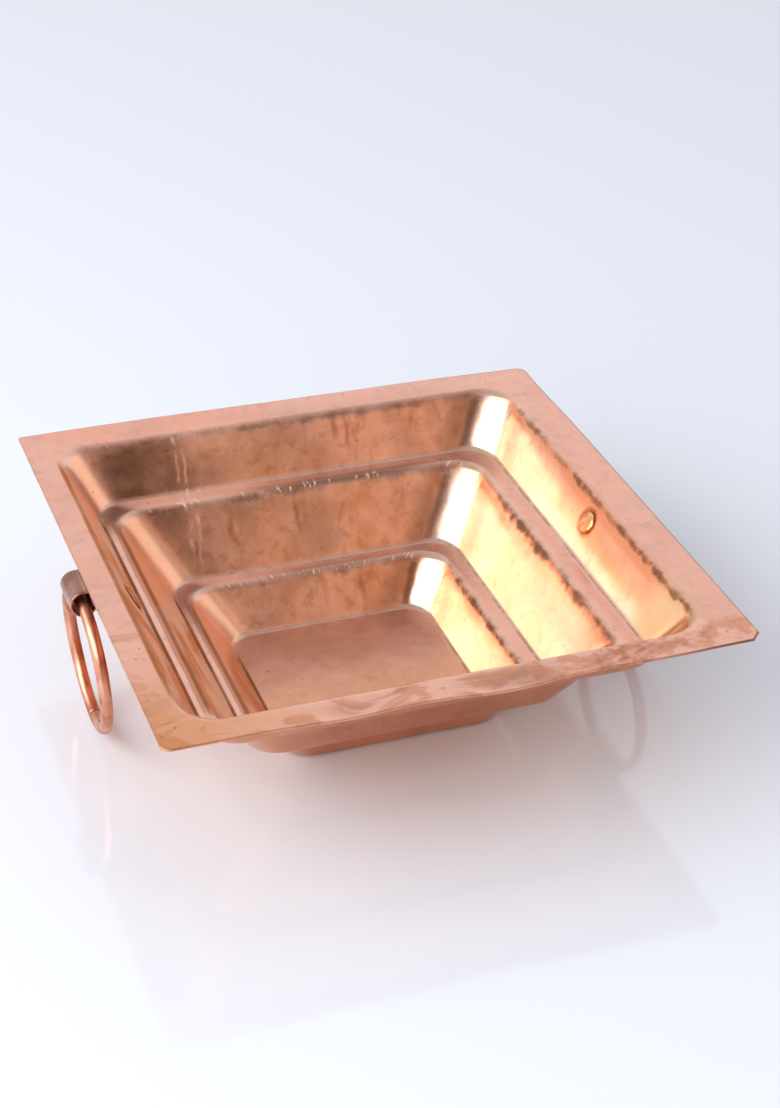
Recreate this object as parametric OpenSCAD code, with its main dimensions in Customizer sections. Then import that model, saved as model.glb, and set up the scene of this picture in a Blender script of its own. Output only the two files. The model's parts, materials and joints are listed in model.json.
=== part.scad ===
// Pressed copper fire pan with two loose ring handles.
// Millimetres. The origin is the middle of the base underside and +Z is up.
// The ring handles hang on the -X and +X sides.

/* [Pan] */
// Overall height, base underside to flange top
pan_h = 46; // [40:0.5:60]
// Thickness of the copper sheet
sheet_t = 0.6; // [0.4:0.05:1]

/* [Flange] */
// Width of the square flange across its flats
flange_w = 152; // [130:1:180]
// Width of the flange strip, from its edge to where it turns down
flange_strip = 9.5; // [7:0.25:14]
// Corner radius of the trimmed flange
flange_corner_r = 1.5; // [0.5:0.1:6]

/* [Well] */
// Distance by which the pressed well sits left of the middle of the flange
well_left = 1.4; // [0:0.1:3]
// Distance by which the pressed well sits in front of the middle of the flange
well_front = 1; // [0:0.1:3]
// Level run of the upper wall
upper_wall_run = 8; // [5:0.25:10]
// Width of the upper ledge
upper_ledge_w = 6; // [4:0.25:9]
// Level run of the middle wall
middle_wall_run = 11; // [7:0.25:13]
// Width of the lower ledge
lower_ledge_w = 5; // [4:0.25:8]
// Level run of the lower wall
lower_wall_run = 7.5; // [5:0.25:9]
// Width of the upper ledge on the left side
left_upper_ledge_w = 4.4; // [3.5:0.1:9]
// Level run of the middle wall on the left side
left_middle_wall_run = 11.5; // [7:0.25:13]
// Width of the lower ledge on the left side
left_lower_ledge_w = 4.2; // [3.5:0.1:8]
// Depth of the upper ledge below the flange top
upper_ledge_depth = 14.4; // [13:0.2:20]
// Depth of the lower ledge below the flange top
lower_ledge_depth = 32.8; // [24:0.2:37]

/* [Corners and bends] */
// Corner radius of the opening
opening_corner_r = 10; // [4:0.5:20]
// Corner radius of the upper ledge
upper_corner_r = 9; // [4:0.5:18]
// Corner radius of the lower ledge
lower_corner_r = 8.5; // [4:0.5:16]
// Corner radius of the floor
floor_corner_r = 7; // [4:0.5:14]
// Bend radius where the sheet turns down, on its upper face
crest_bend_r = 2.4; // [1.8:0.1:3.2]
// Bend radius where the sheet turns level, on its upper face
root_bend_r = 1.8; // [0.8:0.1:2.6]

/* [Ring straps] */
// Width of the strap, which is the length of its rolled tube
strap_w = 11; // [7:0.5:14]
// Thickness of the strap
strap_t = 0.6; // [0.4:0.05:1]
// Bore of the rolled tube
tube_bore_d = 6.1; // [5.4:0.1:8]
// Distance of the left tube's axis outside the flange edge
left_tube_overhang = 1; // [0:0.1:3]
// Distance of the right tube's axis inside the flange edge
right_tube_inset = 1.5; // [0:0.1:3]
// Slit left where the roll closes on the strap
roll_slit = 0.4; // [0.2:0.1:1]
// Depth of the strap's riveted end below the flange top
strap_end_depth = 12; // [10.5:0.1:12.5]
// Distance of the left strap in front of the middle of the flange
left_strap_front = 0; // [0:0.5:20]
// Distance of the right strap in front of the middle of the flange
right_strap_front = 3.5; // [0:0.5:20]

/* [Rivets] */
// Diameter of the rivet's shank
rivet_d = 2.5; // [1.5:0.1:3.5]
// Diameter of the rivet's head inside the pan
rivet_head_d = 6.8; // [4:0.1:8]
// Height of the rivet's head inside the pan
rivet_head_h = 0.7; // [0.4:0.1:1.6]
// Diameter of the rivet's hammered end on the strap
rivet_end_d = 4.4; // [3.8:0.1:5]
// Height of the rivet's hammered end on the strap
rivet_end_h = 1.1; // [0.6:0.1:1.8]
// Depth of the left rivet below the flange top
left_rivet_depth = 8.3; // [5.6:0.1:8.6]
// Depth of the right rivet below the flange top
right_rivet_depth = 6.2; // [5.6:0.1:8.6]

/* [Ring handles] */
// Diameter of the ring on the middle of its wire
ring_d = 38; // [32:0.5:44]
// Diameter of the ring's wire
wire_d = 3.25; // [2.5:0.05:3.6]
// Slit between the butted ends of the ring's wire
ring_slit = 0.4; // [0.2:0.1:1.5]
// Angle by which the left ring hangs in towards the pan
left_ring_lean = 3.9; // [0:0.1:8]

/* [Clearances] */
// Clearance between pieces that are riveted together
seat_gap = 0.05; // [0.02:0.01:0.1]
// Clearance under the wire where the ring hangs in its tube
hang_gap = 0.25; // [0.1:0.05:0.4]

/* [Hidden] */

// Facets on each corner and each bend of the pan, and on round pieces
corner_steps = 6;
bend_steps = 4;
$fn = 64;

// Widths of the well at the head and foot of each wall
opening_w = flange_w - 2 * flange_strip;
upper_foot_w = opening_w - 2 * upper_wall_run;
middle_head_w = upper_foot_w - 2 * upper_ledge_w;
middle_foot_w = middle_head_w - 2 * middle_wall_run;
lower_head_w = middle_foot_w - 2 * lower_ledge_w;
floor_w = lower_head_w - 2 * lower_wall_run;
well_centre = [-well_left, -well_front];

// How much further out the left side of the well lies than the others
middle_head_left = upper_ledge_w - left_upper_ledge_w;
middle_foot_left = middle_head_left + middle_wall_run - left_middle_wall_run;
lower_head_left = middle_foot_left + lower_ledge_w - left_lower_ledge_w;

// Slope of each wall, measured from the level
upper_slope = atan2(upper_ledge_depth, upper_wall_run);
middle_slope = atan2(lower_ledge_depth - upper_ledge_depth, middle_wall_run);
lower_slope = atan2(pan_h - sheet_t - lower_ledge_depth, lower_wall_run);

// Heights of the two ledges and of the floor, on the upper face of the sheet
upper_ledge_z = pan_h - upper_ledge_depth;
lower_ledge_z = pan_h - lower_ledge_depth;
floor_z = sheet_t;

// Strap bend, which nests in the crest bend under the flange
strap_bend_r = crest_bend_r - sheet_t - seat_gap;
strap_bend_x = opening_w / 2 + crest_bend_r * tan(upper_slope / 2);
strap_bend_z = pan_h - crest_bend_r;

// Rolled tube
tube_r = tube_bore_d / 2 + strap_t;
tube_z = pan_h - sheet_t - seat_gap - tube_r;
roll_end = 180 - asin((tube_bore_d / 2 - roll_slit) / tube_r);

// Hinge of the ring: the wire's crown, hung so that it clears the tube at the tube's ends
ring_r = ring_d / 2;
crown_drop = ring_r - sqrt(pow(ring_r, 2) - pow(strap_w / 2, 2));
wire_reach = wire_d / 2 * ring_r / (ring_r - crown_drop);
hinge_z = tube_z - (tube_bore_d / 2 - crown_drop - wire_reach - hang_gap);

copper = "#c98a66";
polished_copper = "#b9713f";

// Stations of the pan's upper face, each [half width, height, tilt, corner radius, centre,
// distance by which the left side lies further out]

function crest(w, z, slope, corner, left = 0) = [for (k = [0:bend_steps])
    let (tilt = slope * k / bend_steps)
    [w / 2 + crest_bend_r * (tan(slope / 2) - sin(tilt)), z - crest_bend_r * (1 - cos(tilt)),
        tilt, corner, well_centre, left]];

function root(w, z, slope, corner, left = 0) = [for (k = [bend_steps:-1:0])
    let (tilt = slope * k / bend_steps)
    [w / 2 - root_bend_r * (tan(slope / 2) - sin(tilt)), z + root_bend_r * (1 - cos(tilt)),
        tilt, corner, well_centre, left]];

function pan_stations() = concat(
    [[flange_w / 2, pan_h, 0, flange_corner_r, [0, 0], 0]],
    crest(opening_w, pan_h, upper_slope, opening_corner_r),
    root(upper_foot_w, upper_ledge_z, upper_slope, upper_corner_r),
    crest(middle_head_w, upper_ledge_z, middle_slope, upper_corner_r, middle_head_left),
    root(middle_foot_w, lower_ledge_z, middle_slope, lower_corner_r, middle_foot_left),
    crest(lower_head_w, lower_ledge_z, lower_slope, lower_corner_r, lower_head_left),
    root(floor_w, floor_z, lower_slope, floor_corner_r));

// The same station on the under face, one sheet thickness away
function under(s) = [s[0] + sheet_t * sin(s[2]), s[1] - sheet_t * cos(s[2]), s[2],
    s[3] + sheet_t * sin(s[2]), s[4], s[5]];

// Points of one station: a rounded square, with its left side further out
function outline(s) = [for (q = [0:3], k = [0:corner_steps])
    let (angle = 90 * (q + k / corner_steps), reach = s[0] - s[3])
    [s[4][0] + (q == 0 || q == 3 ? reach : -reach - s[5]) + s[3] * cos(angle),
        s[4][1] + (q < 2 ? reach : -reach) + s[3] * sin(angle), s[1]]];

// Closed skin over a list of outlines with equal point counts
module skin(outlines) {
    n = len(outlines[0]);
    last = (len(outlines) - 1) * n;
    sides = [for (j = [0:len(outlines) - 2], i = [0:n - 1])
        let (a = j * n + i, b = j * n + (i + 1) % n)
        each [[a, b, b + n], [a, b + n, a + n]]];
    caps = [[for (i = [n - 1:-1:0]) i], [for (i = [0:n - 1]) last + i]];
    polyhedron([for (o = outlines) each o], concat(sides, caps));
}

// Place along Y of the strap on the left side, -1, or the right side, 1
function strap_y(side) = side < 0 ? -left_strap_front : -right_strap_front;

// Distance of the tube's axis from the middle of the flange, on either side
function tube_x(side) = flange_w / 2 + (side < 0 ? left_tube_overhang : -right_tube_inset);

// Puts a right-hand piece on the right side, or its mirror image on the left side.
// In the piece, x is measured from the middle of the well.
module on_side(side) {
    translate([well_centre[0], strap_y(side), 0])
        mirror([side < 0 ? 1 : 0, 0, 0])
            children();
}

// Puts a rivet, drawn along Z with the upper face of the sheet at 0, on the upper wall
module at_rivet(side) {
    depth = side < 0 ? left_rivet_depth : right_rivet_depth;
    translate([opening_w / 2 - depth / tan(upper_slope), 0, pan_h - depth])
        rotate([0, -upper_slope, 0])
            children();
}

module rivet_hole(side) {
    at_rivet(side)
        cylinder(d = rivet_d + 2 * seat_gap, h = 4 * (sheet_t + strap_t), center = true);
}

module kund_pan() {
    upper = pan_stations();
    n = len(upper);
    color(copper)
        difference() {
            skin(concat([for (i = [n - 1:-1:0]) outline(upper[i])],
                [for (i = [0:n - 1]) outline(under(upper[i]))]));
            on_side(-1) rivet_hole(-1);
            on_side(1) rivet_hole(1);
        }
}

// Flat band of strap along a circle, from one angle to another less than half a turn on
module band(outer_r, from, to) {
    far = 2 * outer_r;
    intersection() {
        difference() {
            circle(outer_r);
            circle(outer_r - strap_t);
        }
        polygon([[0, 0], far * [cos(from), sin(from)],
            far * [cos((from + to) / 2), sin((from + to) / 2)], far * [cos(to), sin(to)]]);
    }
}

// Side view of the strap: riveted end on the wall, bend, run under the flange, rolled tube
module strap_profile(tube_local_x) {
    end_run = (strap_end_depth - crest_bend_r * (1 - cos(upper_slope))) / sin(upper_slope);
    translate([strap_bend_x, strap_bend_z]) {
        rotate(upper_slope)
            translate([-end_run, strap_bend_r - strap_t])
                square([end_run, strap_t]);
        band(strap_bend_r, 90, 90 + upper_slope);
        translate([0, strap_bend_r - strap_t])
            square([tube_local_x - strap_bend_x, strap_t]);
    }
    translate([tube_local_x, tube_z]) {
        band(tube_r, -30, 90);
        band(tube_r, -150, -30);
        band(tube_r, roll_end - 360, -150);
    }
}

module ring_strap(side) {
    color(polished_copper)
        on_side(side)
            difference() {
                rotate([90, 0, 0])
                    linear_extrude(strap_w, center = true)
                        strap_profile(tube_x(side) - side * well_centre[0]);
                rivet_hole(side);
            }
}

module ring_strap_left() { ring_strap(-1); }

module ring_strap_right() { ring_strap(1); }

// Shallow dome with a flat foot of diameter d on the level plane
module dome(d, h) {
    r = (pow(d / 2, 2) + pow(h, 2)) / (2 * h);
    intersection() {
        translate([0, 0, h - r])
            sphere(r);
        cylinder(d = 2 * d, h = h);
    }
}

module rivet(side) {
    grip = sheet_t + strap_t + 2 * seat_gap;
    color(copper)
        on_side(side)
            at_rivet(side) {
                translate([0, 0, seat_gap])
                    dome(rivet_head_d, rivet_head_h);
                translate([0, 0, -grip])
                    cylinder(d = rivet_d, h = grip + rivet_head_h / 2);
                translate([0, 0, -grip])
                    mirror([0, 0, 1])
                        dome(rivet_end_d, rivet_end_h);
            }
}

module rivet_left() { rivet(-1); }

module rivet_right() { rivet(1); }

// Ring of round wire with its butted ends at the bottom
module ring_handle(side) {
    slit_angle = 360 * ring_slit / (PI * ring_d);
    lean = side < 0 ? left_ring_lean : 0;
    color(polished_copper)
        translate([side * tube_x(side), strap_y(side), hinge_z])
            rotate([0, side * lean, 0])
                translate([0, 0, -ring_r])
                    rotate([0, 90, 0])
                        rotate([0, 0, slit_angle / 2])
                            rotate_extrude(angle = 360 - slit_angle)
                                translate([ring_r, 0])
                                    circle(d = wire_d);
}

module ring_handle_left() { ring_handle(-1); }

module ring_handle_right() { ring_handle(1); }

kund_pan();
ring_strap_left();
ring_strap_right();
rivet_left();
rivet_right();
ring_handle_left();
ring_handle_right();
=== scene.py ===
"""Looks of a pressed copper fire pan with two loose ring handles.

Metres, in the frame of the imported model: the base stands on z = 0 and +Z is up.
"""
import json
import math

import bpy
import numpy as np
from mathutils import Matrix, Vector, noise


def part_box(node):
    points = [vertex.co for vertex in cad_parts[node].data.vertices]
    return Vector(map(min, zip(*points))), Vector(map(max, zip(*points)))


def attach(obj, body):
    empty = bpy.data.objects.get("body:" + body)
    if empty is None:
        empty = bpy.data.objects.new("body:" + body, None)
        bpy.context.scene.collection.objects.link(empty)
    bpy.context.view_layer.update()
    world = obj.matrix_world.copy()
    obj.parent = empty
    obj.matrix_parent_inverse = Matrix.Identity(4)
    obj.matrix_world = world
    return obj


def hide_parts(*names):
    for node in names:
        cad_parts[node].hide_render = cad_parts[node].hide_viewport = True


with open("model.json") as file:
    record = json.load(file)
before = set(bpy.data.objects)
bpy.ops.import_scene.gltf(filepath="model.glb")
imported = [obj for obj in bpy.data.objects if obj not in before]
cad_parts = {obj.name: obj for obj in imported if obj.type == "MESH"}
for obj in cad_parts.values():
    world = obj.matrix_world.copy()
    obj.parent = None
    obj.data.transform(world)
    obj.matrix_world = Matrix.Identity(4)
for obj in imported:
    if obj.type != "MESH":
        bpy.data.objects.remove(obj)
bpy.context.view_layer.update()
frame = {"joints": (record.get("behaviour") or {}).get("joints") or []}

MM = 0.001

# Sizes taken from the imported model
pan_low, pan_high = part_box("kund_pan")
FLANGE_HALF = (pan_high.x - pan_low.x) / 2
PAN_H = pan_high.z
HINGES = {joint["child"]: Vector(joint["pos_m"]) for joint in frame["joints"]}
SIDES = {-1: "left", 1: "right"}

# Sheet and well of the pan, as pressed
SHEET_T = 0.6 * MM
WELL_CENTRE = (-1.4 * MM, -1.0 * MM)
FLANGE_STRIP = 9.5 * MM
UPPER_WALL_RUN = 8.0 * MM
UPPER_LEDGE_W = 6.0 * MM
MIDDLE_WALL_RUN = 11.0 * MM
LOWER_LEDGE_W = 5.0 * MM
LOWER_WALL_RUN = 7.5 * MM
LEFT_UPPER_LEDGE_W = 4.4 * MM
LEFT_MIDDLE_WALL_RUN = 11.5 * MM
LEFT_LOWER_LEDGE_W = 4.2 * MM
UPPER_LEDGE_DEPTH = 14.4 * MM
LOWER_LEDGE_DEPTH = 32.8 * MM
OPENING_CORNER_R = 10.0 * MM
UPPER_CORNER_R = 9.0 * MM
LOWER_CORNER_R = 8.5 * MM
FLOOR_CORNER_R = 7.0 * MM
CREST_BEND_R = 2.4 * MM
ROOT_BEND_R = 1.8 * MM

# Trimmed corners of the flange, counter-clockwise from the back right one
FLANGE_CORNER_R = (2.2 * MM, 0.8 * MM, 2.4 * MM, 2.6 * MM)
# Share of each corner that is snipped straight and not rounded
FLANGE_SNIP = (0.2, 0.0, 0.1, 1.0)
# Bevel of the sheared edge, and how far inside it the outermost ring of each face lies
RIM_BEVEL = 0.12 * MM
RIM_HOLD = 0.5 * MM

# Fineness of the pan's mesh
CORNER_STEPS = 14
SIDE_STEPS = 40
BEND_STEPS = 8
FLANGE_STEPS = 6
WALL_STEPS = 8
LEDGE_STEPS = 3
FLOOR_STEPS = 10

# Signs of x and y at the corners, counter-clockwise from the back right one
CORNER_SIGNS = ((1, 1), (-1, 1), (-1, -1), (1, -1))
# Layers that say what the pan's surface is like, with one value for each ring of its mesh
PAN_LAYERS = ("polish", "crest", "root", "rim", "under", "high")

# Straps, rivets and rings
STRAP_W = 11.0 * MM
STRAP_T = 0.6 * MM
SEAT_GAP = 0.05 * MM
TUBE_BORE_D = 6.1 * MM
ROLL_SLIT = 0.4 * MM
STRAP_END_DEPTH = 12.0 * MM
RIVET_D = 2.5 * MM
RIVET_HEAD_D = 6.8 * MM
RIVET_HEAD_H = 0.7 * MM
RIVET_END_D = 4.4 * MM
RIVET_END_H = 1.1 * MM
RIVET_DEPTH = {-1: 8.3 * MM, 1: 6.2 * MM}
RING_D = 38.0 * MM
WIRE_D = 3.25 * MM
RING_SLIT = 0.4 * MM
WIRE_CHAMFER = 0.2 * MM
RING_LEAN = {-1: math.radians(3.9), 1: 0.0}

# Fineness of their meshes
STRAP_END_STEPS = 8
STRAP_BEND_STEPS = 10
STRAP_FLAT_STEPS = 6
STRAP_ROLL_STEPS = 56
STRAP_CORNER_STEPS = 3
STRAP_WIDTH_STEPS = 12
RIVET_SIDES = 40
DOME_STEPS = 12
RING_STEPS = 180
WIRE_SIDES = 28

# Widths, left margins, levels and slopes that follow
OPENING_W = 2 * (FLANGE_HALF - FLANGE_STRIP)
UPPER_FOOT_W = OPENING_W - 2 * UPPER_WALL_RUN
MIDDLE_HEAD_W = UPPER_FOOT_W - 2 * UPPER_LEDGE_W
MIDDLE_FOOT_W = MIDDLE_HEAD_W - 2 * MIDDLE_WALL_RUN
LOWER_HEAD_W = MIDDLE_FOOT_W - 2 * LOWER_LEDGE_W
FLOOR_W = LOWER_HEAD_W - 2 * LOWER_WALL_RUN
MIDDLE_HEAD_LEFT = UPPER_LEDGE_W - LEFT_UPPER_LEDGE_W
MIDDLE_FOOT_LEFT = MIDDLE_HEAD_LEFT + MIDDLE_WALL_RUN - LEFT_MIDDLE_WALL_RUN
LOWER_HEAD_LEFT = MIDDLE_FOOT_LEFT + LOWER_LEDGE_W - LEFT_LOWER_LEDGE_W
UPPER_LEDGE_Z = PAN_H - UPPER_LEDGE_DEPTH
LOWER_LEDGE_Z = PAN_H - LOWER_LEDGE_DEPTH
FLOOR_Z = SHEET_T
UPPER_SLOPE = math.atan2(UPPER_LEDGE_DEPTH, UPPER_WALL_RUN)
MIDDLE_SLOPE = math.atan2(UPPER_LEDGE_Z - LOWER_LEDGE_Z, MIDDLE_WALL_RUN)
LOWER_SLOPE = math.atan2(LOWER_LEDGE_Z - FLOOR_Z, LOWER_WALL_RUN)


# Meshes

def skin(name, rings, layers=None, around=None, along=None):
    """Closed mesh over rings of equally many points, with a fan at each end.

    Layers hold one value a ring. Around and along, in metres, become the map "draw".
    """
    rings = np.asarray(rings, float)
    count, size = rings.shape[:2]
    ends = np.stack([rings[0].mean(0), rings[-1].mean(0)])
    first, last = count * size, count * size + 1
    faces, corners = [], []
    for j in range(count - 1):
        for i in range(size):
            k = (i + 1) % size
            faces.append((j * size + i, (j + 1) * size + i, (j + 1) * size + k, j * size + k))
            corners += [(i, j), (i, j + 1), (i + 1, j + 1), (i + 1, j)]
    for i in range(size):
        k = (i + 1) % size
        faces.append((i, k, first))
        corners += [(i, 0), (i + 1, 0), (i, 0)]
        faces.append(((count - 1) * size + k, (count - 1) * size + i, last))
        corners += [(i + 1, count - 1), (i, count - 1), (i, count - 1)]
    mesh = bpy.data.meshes.new(name)
    mesh.from_pydata(np.concatenate([rings.reshape(-1, 3), ends]).tolist(), [], faces)
    mesh.polygons.foreach_set("use_smooth", [True] * len(mesh.polygons))
    for layer, values in (layers or {}).items():
        spread = np.repeat(np.asarray(values, float), size)
        spread = np.append(spread, [values[0], values[-1]])
        mesh.attributes.new(layer, "FLOAT", "POINT").data.foreach_set("value", spread)
    if around is not None:
        closed = np.append(around, 2 * around[-1] - around[-2])
        uv = [(closed[i], along[j]) for i, j in corners]
        mesh.uv_layers.new(name="draw").data.foreach_set("uv", np.ravel(uv))
    piece = bpy.data.objects.new(name, mesh)
    bpy.context.scene.collection.objects.link(piece)
    return piece


def shift_points(piece, shift):
    """Moves every vertex of a piece by the vector that shift gives for its place."""
    for vertex in piece.data.vertices:
        vertex.co += shift(vertex.co.copy())


def ease(value, low, high):
    """0 below low, 1 above high, and a smooth step between."""
    share = min(max((value - low) / (high - low), 0.0), 1.0)
    return share * share * (3 - 2 * share)


# Pan

def outline(half, radii, centre=(0.0, 0.0), snip=(0, 0, 0, 0), left=0.0):
    """Points round a square with rounded or snipped corners, counter-clockwise.

    Left is how much further out its left side lies.
    """
    arcs = []
    for q, sign in enumerate(CORNER_SIGNS):
        step = np.linspace(0, 1, CORNER_STEPS + 1)
        angle = math.pi / 2 * (q + step)
        hub = np.array(centre) + (half - radii[q]) * np.array(sign)
        hub[0] -= left if sign[0] < 0 else 0.0
        arc = hub + radii[q] * np.stack([np.cos(angle), np.sin(angle)], 1)
        chord = arc[0] + step[:, None] * (arc[-1] - arc[0])
        arcs.append(arc + snip[q] * (chord - arc))
    points = []
    for q in range(4):
        step = np.linspace(0, 1, SIDE_STEPS + 1)[1:-1, None]
        points += [arcs[q], arcs[q][-1] + step * (arcs[(q + 1) % 4][0] - arcs[q][-1])]
    return np.concatenate(points)


class Ring:
    """One outline of the pan at one height, with what its surface is like there."""

    def __init__(self, flat, z, **look):
        self.points = np.column_stack([flat, np.full(len(flat), z)])
        self.look = {layer: look.get(layer, 0.0) for layer in PAN_LAYERS}

    def towards(self, other, share):
        """A ring between this one and another."""
        made = Ring(self.points[:, :2], 0.0)
        made.points = self.points + share * (other.points - self.points)
        made.look = {k: v + share * (other.look[k] - v) for k, v in self.look.items()}
        return made


def bend_rings(width, z, slope, corner, radius, turn, left, under):
    """Rings over one bend: turn is 1 where the sheet turns down, -1 where it turns level."""
    rings = []
    for k in range(BEND_STEPS + 1):
        share = k / BEND_STEPS if turn > 0 else 1 - k / BEND_STEPS
        tilt = slope * share
        half = width / 2 + turn * radius * (math.tan(slope / 2) - math.sin(tilt))
        height = z - turn * radius * (1 - math.cos(tilt))
        lift = SHEET_T if under else 0.0
        reach = lift * math.sin(tilt)
        flat = outline(half + reach, [corner + reach] * 4, WELL_CENTRE, left=left)
        bent = math.sin(math.pi * share)
        look = {"crest": bent, "high": (1 + share) / 2} if turn > 0 else {"root": bent}
        rings.append(Ring(flat, height - lift * math.cos(tilt), polish=share, under=under, **look))
    return rings


def well_rings(under):
    """Rings of one face of the well, from the flange inwards and down to the floor."""
    bends = (
        (OPENING_W, PAN_H, UPPER_SLOPE, OPENING_CORNER_R, CREST_BEND_R, 1, 0.0),
        (UPPER_FOOT_W, UPPER_LEDGE_Z, UPPER_SLOPE, UPPER_CORNER_R, ROOT_BEND_R, -1, 0.0),
        (MIDDLE_HEAD_W, UPPER_LEDGE_Z, MIDDLE_SLOPE, UPPER_CORNER_R, CREST_BEND_R, 1, MIDDLE_HEAD_LEFT),
        (MIDDLE_FOOT_W, LOWER_LEDGE_Z, MIDDLE_SLOPE, LOWER_CORNER_R, ROOT_BEND_R, -1, MIDDLE_FOOT_LEFT),
        (LOWER_HEAD_W, LOWER_LEDGE_Z, LOWER_SLOPE, LOWER_CORNER_R, CREST_BEND_R, 1, LOWER_HEAD_LEFT),
        (FLOOR_W, FLOOR_Z, LOWER_SLOPE, FLOOR_CORNER_R, ROOT_BEND_R, -1, 0.0),
    )
    rings = []
    for width, z, slope, corner, radius, turn, left in bends:
        made = bend_rings(width, z, slope, corner, radius, turn, left, under)
        if rings:
            steps = WALL_STEPS if turn < 0 else LEDGE_STEPS
            last = rings[-1]
            rings += [last.towards(made[0], k / steps) for k in range(1, steps)]
        rings += made
    return rings


def flange_rings(first, under):
    """Rings of one face of the flange, from near its edge to the first ring of the well."""
    edge = Ring(outline(FLANGE_HALF - RIM_HOLD, FLANGE_CORNER_R, snip=FLANGE_SNIP),
                PAN_H - (SHEET_T if under else 0.0), under=under)
    return [edge.towards(first, k / FLANGE_STEPS) for k in range(FLANGE_STEPS)]


def rim_rings():
    """Rings round the sheared edge of the flange, from its upper to its under face."""
    rings = []
    profile = ((RIM_BEVEL, 0.0), (0.0, RIM_BEVEL), (0.0, SHEET_T - RIM_BEVEL), (RIM_BEVEL, SHEET_T))
    for inset, drop in profile:
        flat = outline(FLANGE_HALF - inset, FLANGE_CORNER_R, snip=FLANGE_SNIP)
        rings.append(Ring(flat, PAN_H - drop, rim=1.0))
    return rings


def floor_rings(last):
    """Rings of the floor, from the foot of the lower wall to near its middle."""
    flat = np.tile(WELL_CENTRE, (len(last.points), 1))
    middle = Ring(flat, last.points[0, 2], under=last.look["under"])
    return [last.towards(middle, k / FLOOR_STEPS) for k in range(1, FLOOR_STEPS)]


# Waves of the hand-cut flange: place, reach and height of each
FLANGE_WAVES = (
    (9 * MM, -76 * MM, 13 * MM, -1.4 * MM),
    (-31 * MM, -76 * MM, 10 * MM, -0.8 * MM),
    (76 * MM, 68 * MM, 20 * MM, -0.7 * MM),
    (-40 * MM, 76 * MM, 35 * MM, 0.4 * MM),
    (50 * MM, -76 * MM, 12 * MM, -0.4 * MM),
)
# How far from the middle the flange starts to wave
FLANGE_STIFF = 68 * MM
# Depth and size of the faint buckle of the sheet
BUCKLE = 0.05 * MM
BUCKLE_SIZE = 16 * MM
# Height above the floor over which the buckle sets in
BUCKLE_RISE = 4 * MM
# Where the noise of each axis is read, so that the three differ and every run gives the same
BUCKLE_APART = (5.2, 21.4, 48.6)


def pan_shift(place):
    """How far a point of the pan lies from its true place: flange waves and a faint buckle."""
    edge = ease(max(abs(place.x), abs(place.y)), FLANGE_STIFF, FLANGE_HALF)
    spots = [place / BUCKLE_SIZE + Vector((apart, 0, 0)) for apart in BUCKLE_APART]
    shift = Vector([noise.noise(spot) for spot in spots]) * BUCKLE * ease(place.z, 0.0, BUCKLE_RISE)
    for x, y, reach, height in FLANGE_WAVES:
        far = math.hypot(place.x - x, place.y - y) / reach
        shift.z += height * edge * math.exp(-far * far)
    return shift


def lengths(points):
    """Distance along a row of points, from its first one."""
    return np.append(0, np.cumsum(np.linalg.norm(np.diff(points, axis=0), axis=1)))


def make_pan():
    """Pressed sheet, from the middle of its floor up, round the flange and down its outside."""
    upper, lower = well_rings(0.0), well_rings(1.0)
    rings = (floor_rings(upper[-1])[::-1] + upper[::-1] + flange_rings(upper[0], 0.0)[::-1]
             + rim_rings() + flange_rings(lower[0], 1.0) + lower + floor_rings(lower[-1]))
    around = lengths(upper[0].points)
    along = lengths(np.array([ring.points[CORNER_STEPS + SIDE_STEPS // 2] for ring in rings]))
    layers = {layer: [ring.look[layer] for ring in rings] for layer in PAN_LAYERS}
    pan = skin("pan_sheet", [ring.points for ring in rings], layers, around, along)
    shift_points(pan, pan_shift)
    return pan


# Straps, rivets and rings

def hinge_at(side):
    return HINGES[SIDES[side] + "_ring"]


def on_side(side, x, y, z):
    """A place on the right-hand piece, x from the middle of the well, put on one side."""
    return (WELL_CENTRE[0] + side * x, hinge_at(side).y + y, z)


def strap_path(side):
    """Middle line of the strap in side view, as x, z and the direction of its upper face."""
    radius = CREST_BEND_R - SHEET_T - SEAT_GAP - STRAP_T / 2
    bend_x = OPENING_W / 2 + CREST_BEND_R * math.tan(UPPER_SLOPE / 2)
    bend_z = PAN_H - CREST_BEND_R
    tube_r = TUBE_BORE_D / 2 + STRAP_T / 2
    tube_x = abs(hinge_at(side).x) - side * WELL_CENTRE[0]
    tube_z = PAN_H - SHEET_T - SEAT_GAP - STRAP_T / 2 - tube_r
    end_run = (STRAP_END_DEPTH - CREST_BEND_R * (1 - math.cos(UPPER_SLOPE))) / math.sin(UPPER_SLOPE)
    roll = math.pi + math.asin((TUBE_BORE_D / 2 - ROLL_SLIT) / (tube_r + STRAP_T / 2))
    path = []
    tilt = math.pi / 2 + UPPER_SLOPE
    for run in np.linspace(end_run, 0, STRAP_END_STEPS)[:-1]:
        path.append((bend_x + radius * math.cos(tilt) - run * math.cos(UPPER_SLOPE),
                     bend_z + radius * math.sin(tilt) - run * math.sin(UPPER_SLOPE), tilt))
    for angle in np.linspace(tilt, math.pi / 2, STRAP_BEND_STEPS):
        path.append((bend_x + radius * math.cos(angle), bend_z + radius * math.sin(angle), angle))
    for x in np.linspace(bend_x, tube_x, STRAP_FLAT_STEPS)[1:-1]:
        path.append((x, bend_z + radius, math.pi / 2))
    for angle in np.linspace(math.pi / 2, -roll, STRAP_ROLL_STEPS):
        path.append((tube_x + tube_r * math.cos(angle), tube_z + tube_r * math.sin(angle), angle))
    return path


STRAP_EDGE_R = 0.16 * MM
# Unevenness of the strap's edges, and its waves in a metre
STRAP_WOBBLE = 0.12 * MM
STRAP_WAVES = 300


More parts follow.
